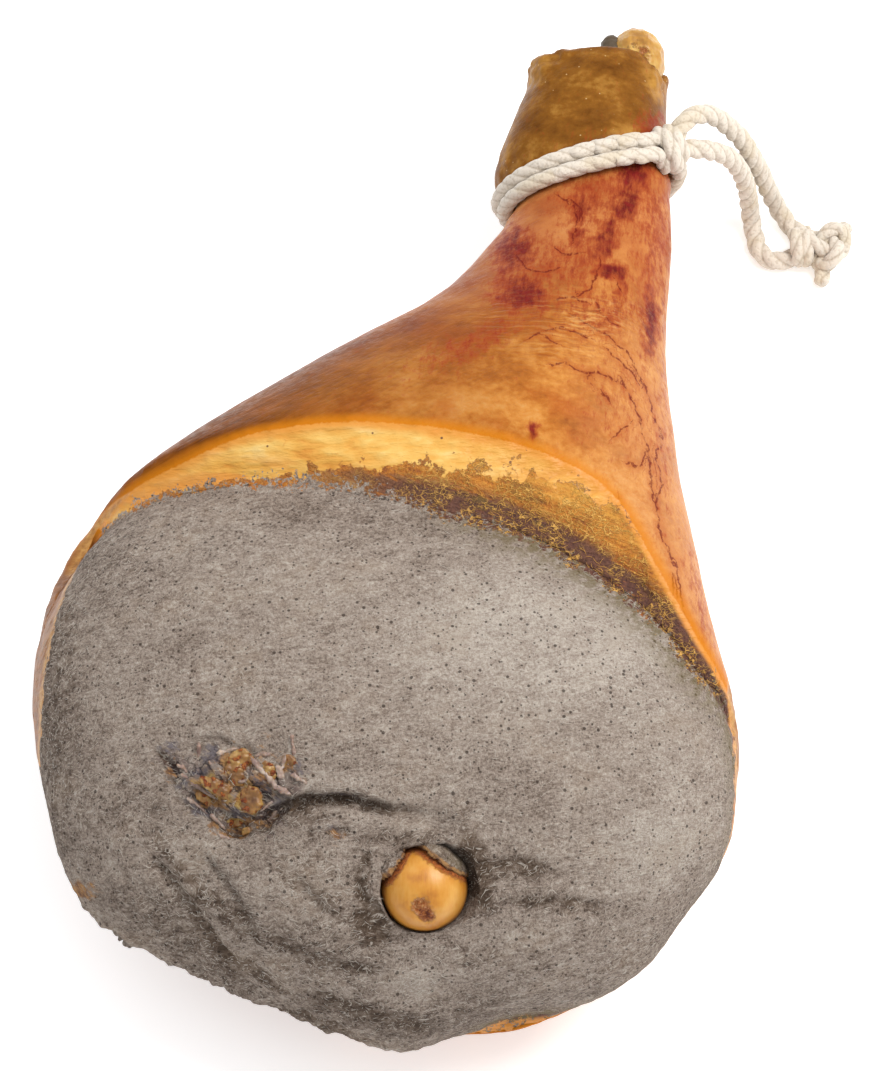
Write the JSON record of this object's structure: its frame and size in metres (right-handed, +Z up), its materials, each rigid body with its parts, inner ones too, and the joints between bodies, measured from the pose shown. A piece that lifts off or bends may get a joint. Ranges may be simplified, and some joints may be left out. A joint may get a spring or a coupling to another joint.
{
  "type": "bone-in dry-cured ham",
  "caption": "Whole bone-in dry-cured ham lying on its rind, bare cut face and femur head up, shank tied with a short knotted white cotton hanging rope",
  "frame": {"origin": "below the middle of the ham and its band of rope, on the surface that it lies on", "axes": "+Y along the leg from the butt end to the hock, +X to the shin side, +Z up out of the cut face's side"},
  "size_m": [0.4071, 0.5478, 0.1619],
  "materials": {
    "rind": "smooth cured pork skin, amber to orange brown, slightly greasy, with dark red veins and bruises",
    "lean": "dull grey-brown dried cut face, felt-like, with fine pale fibres and dark specks",
    "bone": "smooth amber joint cartilage over bone, satin",
    "cartilage": "translucent yellow-brown gristle, satin",
    "tendon": "dried grey tendon, satin",
    "rope": "off-white three-strand twisted cotton"
  },
  "bodies": {
    "root": {"rind_and_fat": "rind", "lean_meat": "lean", "femur_head": "bone", "loose_cartilage": "cartilage", "hock_joint_bone": "bone", "hock_tendon": "tendon", "rope_band_upper": "rope", "rope_band_lower": "rope", "rope_hitch": "rope", "rope_tail_upper": "rope", "rope_tail_lower": "rope", "rope_end_knot": "rope"}
  },
  "joints": []
}
